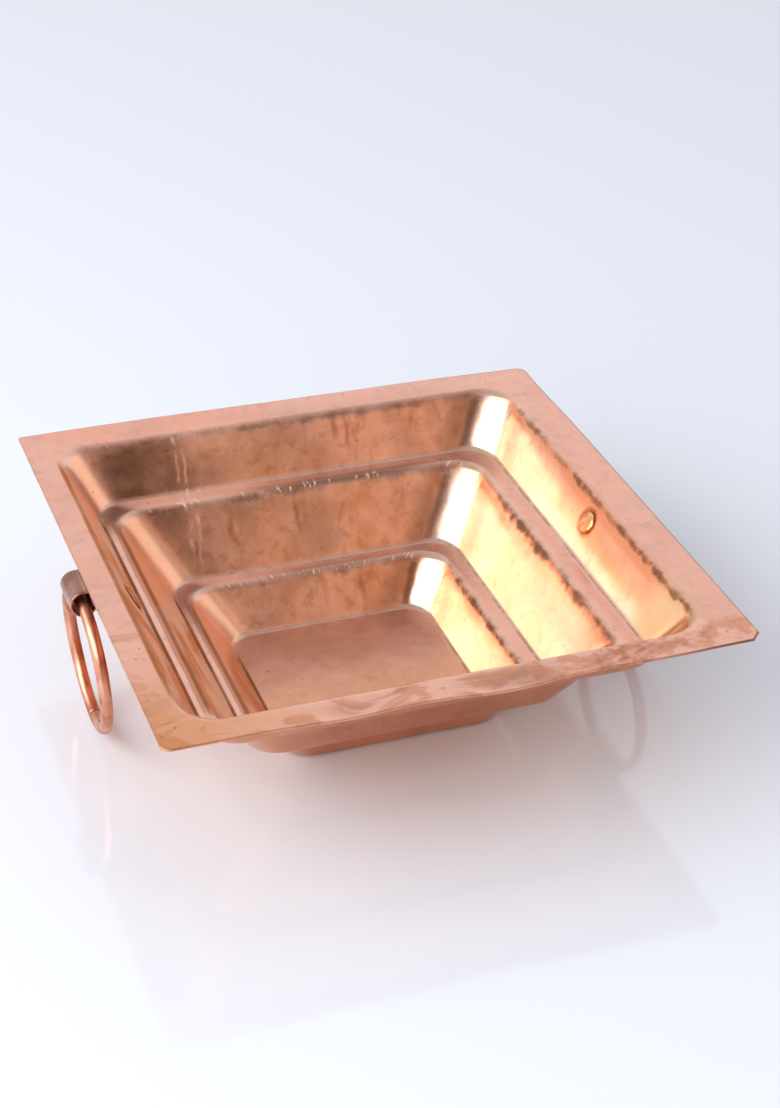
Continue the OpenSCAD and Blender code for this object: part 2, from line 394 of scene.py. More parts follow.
def strap_section():
    """Rounded oblong across the strap, as places along its width and its thickness."""
    points = []
    for q, (sa, sb) in enumerate(CORNER_SIGNS):
        for k in range(STRAP_CORNER_STEPS + 1):
            angle = math.pi / 2 * (q + k / STRAP_CORNER_STEPS)
            points.append((sa * (STRAP_W / 2 - STRAP_EDGE_R) + STRAP_EDGE_R * math.cos(angle),
                           sb * (STRAP_T / 2 - STRAP_EDGE_R) + STRAP_EDGE_R * math.sin(angle)))
        if q % 2 == 0:
            start = sa * (STRAP_W / 2 - STRAP_EDGE_R)
            shares = np.linspace(0, 2, STRAP_WIDTH_STEPS)[1:-1]
            points += [(start * (1 - share), sb * STRAP_T / 2) for share in shares]
    return points


def make_strap(side):
    """Strap from its end on the upper wall, out under the flange and round its tube."""
    section = strap_section()
    rings = []
    for x, z, angle in strap_path(side):
        ring = []
        for a, b in section:
            spot = Vector((x, z, a)) * STRAP_WAVES + Vector((side, 0, 0))
            edge = a + STRAP_WOBBLE * noise.noise(spot) * np.sign(a)
            ring.append(on_side(side, x + b * math.cos(angle), edge, z + b * math.sin(angle)))
        rings.append(ring[::-1] if side > 0 else ring)
    return skin("strap_" + SIDES[side], rings)


# Size and depth of the hammer's dents in a rivet, and how far its outline strays
DENTS = ((1.6 * MM, 0.4), (0.7 * MM, 0.06))
STRAY = 0.07
STRAY_TURNS = 1.3
# Share of the way from the crown to the foot at which a dome's first ring lies
DOME_START = 0.06
# Each dome's own place in the noise
HEAD_SEED = 3.0
END_SEED = 8.0


def dome_rings(width, height, level, way, seed):
    """Rings of a hammered dome from its crown to its foot, each as radius and height."""
    rings = []
    for share in np.linspace(DOME_START, 1, DOME_STEPS):
        radius = width / 2 * math.sin(share * math.pi / 2)
        lift = height * (1 - math.sin(share * math.pi / 2) ** 4) ** 0.5
        ring = []
        for k in range(RIVET_SIDES):
            turn = 2 * math.pi * k / RIVET_SIDES
            spot = Vector((radius * math.cos(turn), radius * math.sin(turn), seed * MM))
            dent = sum(noise.noise(spot / size) * depth for size, depth in DENTS)
            way_out = Vector((math.cos(turn), math.sin(turn), seed))
            out = 1 + STRAY * noise.noise(way_out * STRAY_TURNS)
            ring.append((radius * out * math.cos(turn), radius * out * math.sin(turn),
                         level + way * lift * (1 + dent)))
        rings.append(ring)
    return rings


def make_rivet(side):
    """Rivet with a low head inside the pan and a smaller formed end outside."""
    grip = SHEET_T + STRAP_T + 2 * SEAT_GAP
    head = dome_rings(RIVET_HEAD_D, RIVET_HEAD_H, 0.0, 1, HEAD_SEED + side)
    foot = dome_rings(RIVET_END_D, RIVET_END_H, -grip, -1, END_SEED + side)
    shank = []
    for level in (0.0, -grip):
        turns = np.linspace(0, 2 * math.pi, RIVET_SIDES, endpoint=False)
        shank.append([(RIVET_D / 2 * math.cos(t), RIVET_D / 2 * math.sin(t), level) for t in turns])
    lean = Matrix.Rotation(-UPPER_SLOPE, 3, "Y")
    depth = RIVET_DEPTH[side]
    seat = Vector((OPENING_W / 2 - depth / math.tan(UPPER_SLOPE), 0, PAN_H - depth))
    rings = []
    for ring in head + shank + foot[::-1]:
        placed = [on_side(side, *(seat + lean @ Vector(point))) for point in ring]
        rings.append(placed if side > 0 else placed[::-1])
    layers = {"foot": [k / len(head) for k in range(len(head))] + [1.0, 1.0]
              + [k / len(foot) for k in range(len(foot))][::-1]}
    return skin("rivet_head_" + SIDES[side], rings, layers)


# How far the ring strays in its plane and sideways, and the place in the noise and the waves of each
RING_OUT = 0.15 * MM
RING_OUT_SEED = 50
RING_OUT_WAVES = 1.7
RING_ASIDE = 2 * RING_OUT
RING_ASIDE_SEED = 30
RING_ASIDE_WAVES = 1.1
WIRE_WOBBLE = 0.03 * MM
WIRE_WAVES = 9


def wire_stops():
    """Angles from the bottom at which the wire gets a ring of its mesh, with its radius there."""
    slit = RING_SLIT / RING_D
    start = slit + WIRE_CHAMFER / (RING_D / 2)
    stops = [(angle, WIRE_D / 2) for angle in np.linspace(start, 2 * math.pi - start, RING_STEPS)]
    end_r = WIRE_D / 2 - WIRE_CHAMFER
    return [(slit, end_r)] + stops + [(2 * math.pi - slit, end_r)]


def make_ring(side):
    """Ring of bent wire, with its butted ends at the bottom."""
    hinge = hinge_at(side)
    lean = Matrix.Rotation(side * RING_LEAN[side], 3, "Y")
    radius = RING_D / 2
    rings, along = [], []
    for angle, wire_r in wire_stops():
        low = (1 + math.cos(angle)) / 2
        spot = Vector((math.cos(angle), math.sin(angle), hinge.x * RING_OUT_SEED))
        bent = radius + RING_OUT * low * noise.noise(spot * RING_OUT_WAVES)
        spot = Vector((math.sin(angle), hinge.x * RING_ASIDE_SEED, math.cos(angle)))
        aside = RING_ASIDE * low * noise.noise(spot * RING_ASIDE_WAVES)
        ring = []
        for k in range(WIRE_SIDES):
            turn = 2 * math.pi * k / WIRE_SIDES
            spot = Vector((angle * WIRE_WAVES, math.cos(turn), math.sin(turn)))
            rough = wire_r + WIRE_WOBBLE * noise.noise(spot)
            reach = bent + rough * math.cos(turn)
            ring.append(hinge + lean @ Vector((aside + rough * math.sin(turn), reach * math.sin(angle),
                                               -radius - reach * math.cos(angle))))
        rings.append(ring)
        along.append(angle * radius)
    around = np.linspace(0, math.pi * WIRE_D, WIRE_SIDES, endpoint=False)
    return skin("ring_wire_" + SIDES[side], rings, None, around, along)


# Materials

def linear(code):
    """Linear colour of a hex colour as it shows on a screen."""
    parts = [int(code[k:k + 2], 16) / 255 for k in (1, 3, 5)]
    return tuple(c / 12.92 if c <= 0.04045 else ((c + 0.055) / 1.055) ** 2.4 for c in parts) + (1.0,)


# Sockets of a mix node for colours, which share their names with others: share, two colours, result
MIX_SHARE, MIX_FIRST, MIX_SECOND, MIX_RESULT = 0, 6, 7, 2


class Shader:
    """A material made of nodes, with one short method for each kind of node."""

    def __init__(self, name):
        self.material = bpy.data.materials.new(name)
        self.material.use_nodes = True
        self.nodes = self.material.node_tree.nodes
        self.links = self.material.node_tree.links
        self.surface = self.nodes["Principled BSDF"]
        self.place = self.add("ShaderNodeTexCoord").outputs["Object"]

    def add(self, kind, **settings):
        node = self.nodes.new(kind)
        for name, value in settings.items():
            setattr(node, name, value)
        return node

    def feed(self, socket, value):
        if isinstance(value, bpy.types.NodeSocket):
            self.links.new(value, socket)
        else:
            socket.default_value = value

    def layer(self, name):
        return self.add("ShaderNodeAttribute", attribute_name=name).outputs["Fac"]

    def stretch(self, scale, place=None):
        node = self.add("ShaderNodeMapping")
        self.feed(node.inputs["Vector"], place or self.place)
        node.inputs["Scale"].default_value = scale
        return node.outputs["Vector"]

    def draw_map(self, scale):
        return self.stretch(scale, self.add("ShaderNodeUVMap", uv_map="draw").outputs["UV"])

    def axis(self, letter):
        node = self.add("ShaderNodeSeparateXYZ")
        self.links.new(self.place, node.inputs[0])
        return node.outputs[letter]

    def noise(self, scale, place=None, detail=3.0, rough=0.55, distort=0.0):
        node = self.add("ShaderNodeTexNoise")
        self.feed(node.inputs["Vector"], place or self.place)
        settings = {"Scale": scale, "Detail": detail, "Roughness": rough, "Distortion": distort}
        for name, value in settings.items():
            node.inputs[name].default_value = value
        return node.outputs[0]

    def cells(self, scale):
        node = self.add("ShaderNodeTexVoronoi")
        self.links.new(self.place, node.inputs["Vector"])
        node.inputs["Scale"].default_value = scale
        return node.outputs["Distance"]

    def ease(self, value, low, high, to_low=0.0, to_high=1.0):
        """A smooth step from to_low, where the value is low, to to_high, where it is high."""
        node = self.add("ShaderNodeMapRange", interpolation_type="SMOOTHSTEP")
        self.feed(node.inputs["Value"], value)
        node.inputs["From Min"].default_value = low
        node.inputs["From Max"].default_value = high
        node.inputs["To Min"].default_value = to_low
        node.inputs["To Max"].default_value = to_high
        return node.outputs[0]

    def without(self, mask, rest=0.0):
        """1 where a mask is 0, easing to the rest where it is 1."""
        return self.ease(mask, 0.0, 1.0, 1.0, rest)

    def math(self, operation, a, b=0.0):
        node = self.add("ShaderNodeMath", operation=operation)
        self.feed(node.inputs[0], a)
        self.feed(node.inputs[1], b)
        return node.outputs[0]

    def minus(self, a, b):
        return self.math("SUBTRACT", a, b)

    def times(self, *values):
        made = values[0]
        for value in values[1:]:
            made = self.math("MULTIPLY", made, value)
        return made

    def plus(self, *values):
        made = values[0]
        for value in values[1:]:
            made = self.math("ADD", made, value)
        return made

    def mix(self, share, a, b):
        node = self.add("ShaderNodeMix", data_type="RGBA")
        self.feed(node.inputs[MIX_SHARE], share)
        self.feed(node.inputs[MIX_FIRST], a)
        self.feed(node.inputs[MIX_SECOND], b)
        return node.outputs[MIX_RESULT]

    def ridge(self, value, centre, width):
        """1 where a value is at the centre, falling to 0 at the width on either side."""
        gap = self.math("ABSOLUTE", self.minus(value, centre))
        return self.ease(gap, 0.0, width, 1.0, 0.0)

    def spot(self, centre, inner, outer):
        """1 within the inner distance of a place, falling to 0 at the outer one, all in millimetres."""
        node = self.add("ShaderNodeVectorMath", operation="DISTANCE")
        self.links.new(self.place, node.inputs[0])
        node.inputs[1].default_value = [c * MM for c in centre]
        return self.ease(node.outputs["Value"], inner * MM, outer * MM, 1.0, 0.0)

    def bump(self, height, depth, normal=None):
        node = self.add("ShaderNodeBump")
        self.feed(node.inputs["Height"], height)
        node.inputs["Distance"].default_value = depth
        if normal is not None:
            self.links.new(normal, node.inputs["Normal"])
        return node.outputs[0]

    def finish(self, colour, roughness, normal, metal=1.0, specular=0.5):
        self.surface.inputs["Specular IOR Level"].default_value = specular
        self.feed(self.surface.inputs["Metallic"], metal)
        self.feed(self.surface.inputs["Base Color"], colour)
        self.feed(self.surface.inputs["Roughness"], roughness)
        self.links.new(normal, self.surface.inputs["Normal"])
        return self.material


# Colours of the pan
SATIN_PINK = linear("#fdc1a8")
SATIN_ORANGE = linear("#f0ab7e")
POLISHED = linear("#fad1be")
POLISHED_DEEP = linear("#f6c4a8")
# Painted reflection on the right walls
PAINTED_REFLECTION_ORANGE = linear("#f7a274")
TARNISH = linear("#8a5a40")
STAIN_ORANGE = linear("#cf7b3e")
STAIN_BROWN = linear("#b1663c")
RUST = linear("#ae5322")
STAIN_GREEN = linear("#b3a586")
GRIME = linear("#5c3623")
# Partly a real oxide film, partly painted reflection of the bright right walls
FILM_AND_REFLECTION = linear("#f5b489")
# Painted highlight at the front end of the upper right wall
PAINTED_HIGHLIGHT_YELLOW = linear("#fbcb90")
# Painted highlight of the right walls
PAINTED_HIGHLIGHT_PALE = linear("#fdeccb")
PALE_PATCH = linear("#ffd9bd")
# Painted highlight of the left walls
PAINTED_HIGHLIGHT_SALMON = linear("#ffae82")
SOOT = linear("#5e443a")
OUTSIDE = linear("#dc9064")
BARE_EDGE = linear("#fbd6c2")
# Colours of the wire, the straps and the rivets
WIRE_LIGHT = linear("#e2a286")
WIRE_DEEP = linear("#bf7a60")
STRAP_LIGHT = linear("#c4937f")
STRAP_DEEP = linear("#9a6c5c")
STRAP_LINES = linear("#8a6252")
RIVET_LIGHT = linear("#efae7c")
RIVET_DEEP = linear("#dc8e56")
# Painted shade of the rivet where it meets the sheet
RIVET_FOOT_SHADE = linear("#7a3d1c")

# Stains of the pan and painted shade round the rivet heads, in millimetres: the middle, and the distances
# where each is full and where it ends
WARM_CORNER = ((-70, -74, 46), 8, 36)
GREEN_SMEAR = ((14, -73, 46), 3, 15)
RUST_PATCH = ((40, -72, 46), 3, 13)
FLOOR_SMUDGE = ((1.7, 8, 0.6), 1, 10)
FLOOR_SPECKS = ((-24, 4, 1), 3, 15)
UPPER_SOOT = ((-48, 61, 38), 6, 24)
MIDDLE_SOOT = ((-31, 46, 24), 4, 19)
# Painted shade round the rivet heads
RIVET_SHADE_RINGS = (((-63.3, 0.0, 37.7), 3.5, 4.9), ((61.7, -3.5, 39.8), 3.5, 4.9))
# Rusty runs down the back walls, in millimetres: place and half width across, then middle and half
# length in height
RUNS = ((-20.5, 1.6, 23.0, 9.0), (-1.5, 1.3, 25.0, 7.0), (14.5, 1.4, 42.0, 5.0), (18.0, 1.2, 40.0, 8.0),
        (13.0, 1.8, 7.0, 6.0), (30.0, 1.4, 24.0, 8.0))
# Bright scratches down the back walls, and half the width of each
SCRATCHES = (-30.4 * MM, -32.6 * MM)
SCRATCH_W = 0.8 * MM
# Depths of the pan's relief
GRAIN_DEPTH = 0.004 * MM
STREAK_DEPTH = 0.003 * MM
RIPPLE_DEPTH = 0.1 * MM
WORN_DEPTH = 0.5 * MM
PAN_SPECULAR = 0.15
# Depths of the relief on the wire, the straps and the rivets
WIRE_LINE_DEPTH = 0.012 * MM
WIRE_DENT_DEPTH = 0.03 * MM
STRAP_LINE_DEPTH = 0.008 * MM
RIVET_DENT_DEPTH = 0.02 * MM


class PanShader(Shader):
    """The pan's copper, with masks for its parts and the noises and films that its marks share."""

    def __init__(self):
        super().__init__("pan_copper")
        self.x, self.y, self.z = self.axis("X"), self.axis("Y"), self.axis("Z")
        self.polish, self.crest, self.root, self.rim, self.under, self.high = map(self.layer, PAN_LAYERS)
        self.add_noises()
        self.add_parts()
        self.add_films()

    def add_noises(self):
        self.cloud = self.noise(45.0, detail=4.0)
        self.haze = self.noise(70.0, detail=4.0, distort=0.3)
        self.mottle = self.noise(120.0)
        self.ragged = self.noise(190.0, detail=4.0, rough=0.6)
        self.fine = self.noise(260.0, detail=4.0, rough=0.65)
        self.swirl = self.noise(62.0, self.stretch((0.8, 1.4, 1.0)), detail=4.0, distort=1.2)
        self.strokes = self.noise(1.0, self.stretch((75.0, 38.0, 75.0)), detail=5.0, distort=0.5)
        self.streak = self.noise(1.0, self.draw_map((420.0, 25.0, 1.0)))
        self.wander = self.plus(self.x, self.times(self.noise(90.0), 5 * MM))

    def add_parts(self):
        """Masks of the pan's faces and sides. The well is all that lies below the flange."""
        wide, self.deep = self.math("ABSOLUTE", self.x), self.math("ABSOLUTE", self.y)
        self.inside, self.level = self.without(self.under), self.without(self.polish)
        self.flange = self.ease(self.z, 44.5 * MM, 45.8 * MM)
        self.well = self.without(self.flange)
        self.back = self.times(self.ease(self.minus(self.y, wide), 0.0, 6 * MM), self.inside)
        self.right = self.times(self.ease(self.minus(self.x, self.deep), -4 * MM, 2 * MM), self.inside)
        self.left = self.times(self.ease(self.plus(self.x, self.deep), -6 * MM, -16 * MM), self.inside)
        self.front = self.times(self.ease(self.y, -62 * MM, -67 * MM), self.inside)
        left_strip = self.times(self.left, self.flange, self.ease(self.y, 20 * MM, -45 * MM, 0.1, 0.6))
        self.worn = self.plus(self.front, left_strip)
        self.shelf = self.plus(self.crest, self.times(self.level, self.ease(self.high, 0.15, 0.45)))

    def add_films(self):
        """Tarnish of the back walls, clearer in one stretch; film of the left ones, partly a real oxide
        film and partly painted reflection of the bright right walls; and a painted highlight at one end of
        them.
        """
        self.clear = self.times(self.back, self.ridge(self.x, 20 * MM, 20 * MM))
        dull = self.plus(self.ease(self.haze, 0.32, 0.68, 0.05, 0.4),
                         self.ease(self.streak, 0.45, 0.7, 0.0, 0.05))
        self.dull = self.times(self.back, dull, self.without(self.clear, 0.3))
        # Left walls, where a real oxide film and a painted reflection of the bright right walls lie
        self.film_and_painted_reflection = self.times(self.left, self.ease(self.polish, 0.0, 0.2))
        ahead = self.plus(self.x, self.y, self.times(self.high, 40 * MM), self.times(self.strokes, 8 * MM),
                          self.ease(self.z, 10 * MM, 16 * MM, -8 * MM, 0.0))
        # Mask of a painted highlight at the back end of the left walls, towards the bright corner
        self.bright = self.times(self.film_and_painted_reflection, self.ease(self.polish, 0.5, 0.9),
                                 self.ease(ahead, -13 * MM, -2 * MM))


def satin_colour(s):
    """Satin of the flange, ledges and floor, warmer towards the front left corner."""
    floor = s.times(s.ease(s.z, 3 * MM, 1 * MM), s.ease(s.y, 12 * MM, -14 * MM, 0.25, 0.8))
    warm = s.times(s.spot(*WARM_CORNER), s.ease(s.mottle, 0.3, 0.7, 0.7, 1.3))
    warm = s.plus(warm, floor, s.ease(s.mottle, 0.5, 0.7, 0.0, 0.2))
    satin = s.mix(warm, SATIN_PINK, SATIN_ORANGE)
    satin = s.mix(s.times(s.worn, s.ease(s.swirl, 0.49, 0.58, 0.0, 0.45)), satin, STAIN_ORANGE)
    smear = s.spot(*GREEN_SMEAR)
    blotch = s.noise(95.0, s.stretch((0.4, 1.7, 1.0)), detail=5.0, rough=0.6, distort=0.8)
    blotch = s.times(s.worn, s.ease(blotch, 0.56, 0.68), s.ease(s.x, 46 * MM, 62 * MM, 1.0, 0.4),
                     s.without(smear, 0.1))
    rust = s.times(s.spot(*RUST_PATCH), s.ease(s.fine, 0.35, 0.6))
    satin = s.mix(s.times(s.plus(blotch, rust), 0.48), satin, RUST)
    satin = s.mix(s.times(smear, s.ease(s.fine, 0.4, 0.6, 0.0, 0.1)), satin, STAIN_GREEN)
    grit = s.times(s.front, s.ease(s.x, 5 * MM, 30 * MM, 0.1, 1.0), s.ease(s.fine, 0.51, 0.68, 0.0, 0.35))
    satin = s.mix(grit, satin, RUST)
    veil = s.plus(s.ease(s.fine, 0.5, 0.78, 0.0, 0.2), s.ease(s.mottle, 0.35, 0.6, 0.1, 0.0))
    satin = s.mix(s.times(veil, s.without(s.front, 0.2)), satin, TARNISH)
    smudge = s.times(s.spot(*FLOOR_SMUDGE), s.ease(s.cloud, 0.2, 0.6, 0.1, 0.2))
    return s.mix(smudge, satin, TARNISH)


def wall_colour(s):
    """Polished walls: a painted pale highlight on the right, stained at the back, and a painted dark
    reflection at the right end of the back walls.
    """
    walls = s.mix(s.ease(s.cloud, 0.4, 0.65), POLISHED, POLISHED_DEEP)
    # Painted highlight: the right walls are painted paler, most near the back right corner and on the back
    # of the lower tier
    painted_pale = s.plus(s.times(s.ease(s.z, 16 * MM, 12 * MM), s.ease(s.y, -6 * MM, 6 * MM)),
                  s.ease(s.minus(s.x, s.y), 18 * MM, 8 * MM))
    walls = s.mix(s.times(s.right, s.ease(painted_pale, 0.0, 1.0, 0.42, 0.8)), walls, PAINTED_HIGHLIGHT_PALE)
    speckle = s.noise(420.0, detail=4.0, rough=0.7)
    walls = s.mix(s.times(s.right, s.ease(speckle, 0.5, 0.72, 0.0, 0.4)), walls, STAIN_GREEN)
    walls = right_painted_reflection(s, back_stains(s, walls))
    # Painted dark reflection at the right end of the back walls, beside the bright corner
    end = s.times(s.back, s.ridge(s.minus(s.y, s.x), 11 * MM, 7 * MM))
    return s.mix(s.times(end, 0.5), walls, TARNISH)


def back_stains(s, walls):
    """Drips, rusty runs, tarnish and soot on the back walls."""
    smears = s.noise(150.0, s.stretch((1.0, 1.0, 0.4)), detail=4.0, distort=0.6)
    drips = s.times(s.back, s.ease(smears, 0.56, 0.68))
    amber = s.times(s.clear, s.ease(s.z, 34 * MM, 28 * MM, 0.12, 0.35),
                    s.ease(s.mottle, 0.4, 0.62, 0.5, 1.4))
    walls = s.mix(s.plus(s.times(drips, 0.3), amber), walls, STAIN_ORANGE)
    walls = s.mix(s.times(s.back, s.ease(s.fine, 0.5, 0.66, 0.0, 0.28)), walls, STAIN_BROWN)
    runs = s.plus(*[s.times(s.ridge(s.wander, place * MM, width * MM),
                            s.ridge(s.z, middle * MM, reach * MM))
                    for place, width, middle, reach in RUNS])
    runs = s.times(s.back, runs, s.ease(smears, 0.34, 0.56, 0.2, 1.0))
    walls = s.mix(s.times(runs, 0.6), walls, RUST)
    walls = s.mix(s.dull, walls, TARNISH)
    soot = s.plus(s.times(s.spot(*UPPER_SOOT), 0.8), s.times(s.spot(*MIDDLE_SOOT), 0.4))
    return s.mix(s.times(soot, s.back, s.ease(s.haze, 0.3, 0.6, 0.7, 1.0)), walls, SOOT)


def right_painted_reflection(s, walls):
    """Painted reflection: orange along the heads of the right walls and over the upper one, for the
    copper's reflection in itself, and a painted yellow highlight at the front end.
    """
    upper = s.ease(s.z, 30 * MM, 33 * MM)
    fore = s.times(upper, s.ease(s.y, 32 * MM, 2 * MM), s.ease(s.y, -52 * MM, -38 * MM))
    patch = s.noise(75.0, detail=5.0, rough=0.6)
    # Painted reflection along the heads of the right walls and over the upper one
    head = s.ease(s.plus(s.high, s.times(patch, 0.5)), 0.92, 1.28)
    painted_glow = s.times(fore, s.ease(s.plus(s.high, s.times(s.mottle, 0.4)), 0.25, 0.6),
                   s.ease(patch, 0.3, 0.65, 1.0, 0.55))
    walls = s.mix(s.times(s.plus(head, painted_glow), s.right, 0.9), walls, PAINTED_REFLECTION_ORANGE)
    # Painted yellow highlight at the front end of the upper right wall
    painted_yellow_end = s.times(s.right, s.ease(s.y, -36 * MM, -50 * MM), upper)
    return s.mix(s.times(painted_yellow_end, 0.7), walls, PAINTED_HIGHLIGHT_YELLOW)


def film_and_reflection_colour(s, colour):
    """Brushed film over the left walls, partly a real oxide film and partly painted reflection of the
    bright right walls, browner in the bends, with painted shade along the ledges and a painted highlight
    at one end.
    """
    # Partly real oxide film, partly painted reflection of the bright right walls
    colour = s.mix(s.times(s.film_and_painted_reflection, 0.9), colour, FILM_AND_REFLECTION)
    colour = s.mix(s.times(s.film_and_painted_reflection, s.ease(s.strokes, 0.6, 0.38, 0.0, 0.55)), colour, PALE_PATCH)
    colour = s.mix(s.times(s.film_and_painted_reflection, s.ease(s.strokes, 0.45, 0.64, 0.0, 0.65)), colour, STAIN_ORANGE)
    bends = s.ease(s.plus(s.polish, s.times(s.strokes, 0.7)), 1.25, 0.75)
    colour = s.mix(s.times(s.film_and_painted_reflection, bends, 0.6), colour, STAIN_BROWN)
    # Painted shade on the crest side of the left ledges, which narrows their bright line
    painted_ledge_shade = s.ease(s.plus(s.high, s.times(s.strokes, 0.3)), 0.4, 0.52)
    colour = s.mix(s.times(s.left, s.level, painted_ledge_shade, s.well, 0.6), colour, STAIN_BROWN)
    # Painted highlight at the back end of the left walls
    return s.mix(s.times(s.bright, 0.9), colour, PAINTED_HIGHLIGHT_SALMON)


def soil_share(s):
    """How much soil lies along the bends: at the back, on the right and on the left."""
    frayed = s.plus(s.high, s.ease(s.ragged, 0.25, 0.75, -0.03, 0.03),
                    s.ease(s.fine, 0.3, 0.7, -0.03, 0.03))
    below = s.times(s.ease(s.polish, 0.97, 1.0), s.ease(frayed, 0.86, 1.02, 1.0, 0.0))
    lip = s.times(s.ease(frayed, 0.5, 0.92), s.minus(1.0, below))
    broken = s.noise(1.0, s.draw_map((60.0, 90.0, 1.0)), detail=2.0)
    along = s.times(s.right, s.ease(s.minus(s.x, s.y), 2 * MM, 16 * MM, 0.15, 1.0))
    soil = s.times(lip, s.plus(s.times(s.back, 0.75), along), s.ease(broken, 0.3, 0.6, 0.5, 1.0))
    soil = s.plus(soil, s.times(s.root, s.root, s.plus(s.times(s.back, 0.4), s.times(s.right, 0.75))))
    soil = s.times(soil, s.ease(s.ragged, 0.3, 0.6, 0.55, 1.0))
    bends = s.plus(s.times(s.crest, 0.4), s.times(s.root, 0.8))
    soil = s.plus(soil, s.times(s.left, bends, s.ease(s.mottle, 0.3, 0.6, 0.6, 1.0)))
    return s.ease(soil, 0.0, 1.1, 0.0, 0.95)


def soiled_colour(s, colour, soil):
    """Painted dark reflection on the ledges at the back, soil along the bends, and painted shade round
    each rivet head.
    """
    # Painted dark reflection: the ledges at the back mirror the brown walls above them, painted darker
    # with tarnish colour
    painted_dark_shelf = s.times(s.shelf, s.back, s.ease(s.x, -30 * MM, 0.0),
                      s.ease(s.minus(s.y, s.x), 6 * MM, 30 * MM),
                      s.ease(s.z, 20 * MM, 28 * MM, 0.25, 0.5), s.without(s.flange, 0.2))
    colour = s.mix(painted_dark_shelf, colour, TARNISH)
    colour = s.mix(soil, colour, GRIME)
    # Painted shade in a ring round each rivet head
    rivet_shade = s.plus(*[s.spot(*place) for place in RIVET_SHADE_RINGS])
    return s.mix(s.times(rivet_shade, s.inside, s.ease(s.fine, 0.35, 0.6, 0.5, 0.95)), colour, STAIN_BROWN)


def scored_colour(s, colour):
    """Bright nicks on the ledges at the back, and scratches and ticks down the walls there."""
    fleck = s.noise(1.0, s.draw_map((750.0, 260.0, 1.0)), detail=2.0)
    nicks = s.times(s.shelf, s.back, s.ease(fleck, 0.56, 0.66), s.ease(s.cloud, 0.42, 0.55),
                    s.without(s.flange, 0.2))
    scratch = s.plus(*[s.ridge(s.wander, place, SCRATCH_W) for place in SCRATCHES])
    ticks = s.noise(1.0, s.stretch((1100.0, 300.0, 170.0)), detail=2.0)
    ticks = s.times(s.ease(ticks, 0.62, 0.72), s.ridge(s.x, -30 * MM, 9 * MM), 0.6)
    scratch = s.plus(s.times(scratch, s.ease(s.fine, 0.4, 0.55)), ticks)
    scratch = s.times(s.back, scratch, s.ease(s.z, 14 * MM, 22 * MM), s.well)
    return s.mix(s.times(s.plus(nicks, scratch), 0.75), colour, BARE_EDGE)


def outer_colour(s):
    """Stained copper of the outside, darker along its bends."""
    outer = s.mix(s.ease(s.cloud, 0.38, 0.7, 0.0, 0.3), OUTSIDE, TARNISH)
    outer = s.mix(s.ease(s.swirl, 0.5, 0.64, 0.0, 0.35), outer, STAIN_ORANGE)
    outer = s.mix(s.ease(s.mottle, 0.52, 0.72, 0.0, 0.35), outer, RUST)
    outer = s.mix(s.ease(s.streak, 0.5, 0.75, 0.0, 0.1), outer, PALE_PATCH)
    bends = s.times(s.plus(s.crest, s.root), s.ease(s.ragged, 0.3, 0.6, 0.1, 0.4))
    return s.mix(bends, outer, GRIME)


def speck_share(s):
    """Dark specks inside the pan, in loose crowds."""
    crowd = s.plus(s.noise(60.0, detail=1.0), s.times(s.spot(*FLOOR_SPECKS), 0.3))
    cells = s.plus(s.cells(230.0), s.times(s.noise(1500.0, detail=2.0), 0.14))
    return s.times(s.ease(cells, 0.09, 0.17, 1.0, 0.0), s.ease(crowd, 0.46, 0.62), s.inside, 0.6)


def pan_gloss(s, soil):
    """Roughness and metal: smoothest on the walls, duller on the flange, in soil, film and tarnish."""
    shelves = s.times(s.level, s.back, s.ease(s.z, 4 * MM, 8 * MM))
    nook = s.times(s.inside, s.polish, s.ease(s.plus(s.x, s.deep), 16 * MM, 2 * MM),
                   s.ease(s.y, 0.0, 20 * MM))
    rough = s.plus(s.ease(s.polish, 0.0, 1.0, 0.25, 0.17), s.times(s.flange, 0.11),
                   s.times(shelves, s.ease(s.x, 15 * MM, -35 * MM), 0.2),
                   s.ease(s.cloud, 0.3, 0.7, -0.03, 0.04), s.times(s.dull, s.polish, 0.2),
                   s.times(soil, 0.45), s.times(s.film_and_painted_reflection, 0.33), s.times(nook, 0.09))
    dusty = s.times(shelves, s.well, s.ease(s.x, 0.0, -35 * MM, 0.1, 0.55))
    covered = s.plus(s.times(soil, 0.9), s.times(s.film_and_painted_reflection, 0.4), s.times(s.bright, 0.5), dusty)
    return rough, s.minus(1.0, covered)


def pan_relief(s):
    """Fine grain, draw marks, a faint ripple, and the uneven worn flange."""
    grain = s.noise(900.0, s.stretch((1.0, 0.06, 0.2)), detail=2.0)
    ripple = s.times(s.noise(110.0, detail=1.0), s.without(s.right, 0.5))
    normal = s.bump(grain, GRAIN_DEPTH)
    normal = s.bump(s.times(s.streak, s.polish), STREAK_DEPTH, normal)
    normal = s.bump(ripple, RIPPLE_DEPTH, normal)
    return s.bump(s.times(s.swirl, s.worn), WORN_DEPTH, normal)


def pan_material():
    s = PanShader()
    soil = soil_share(s)
    colour = s.mix(s.polish, satin_colour(s), wall_colour(s))
    colour = film_and_reflection_colour(s, colour)
    colour = soiled_colour(s, colour, soil)
    colour = scored_colour(s, colour)
    colour = s.mix(s.times(s.under, 0.9), colour, outer_colour(s))
    colour = s.mix(s.times(s.rim, s.ease(s.x, 40 * MM, 70 * MM, 0.25, 0.9)), colour, TARNISH)
    colour = s.mix(speck_share(s), colour, GRIME)
    rough, metal = pan_gloss(s, soil)
    return s.finish(colour, rough, pan_relief(s), metal, PAN_SPECULAR)


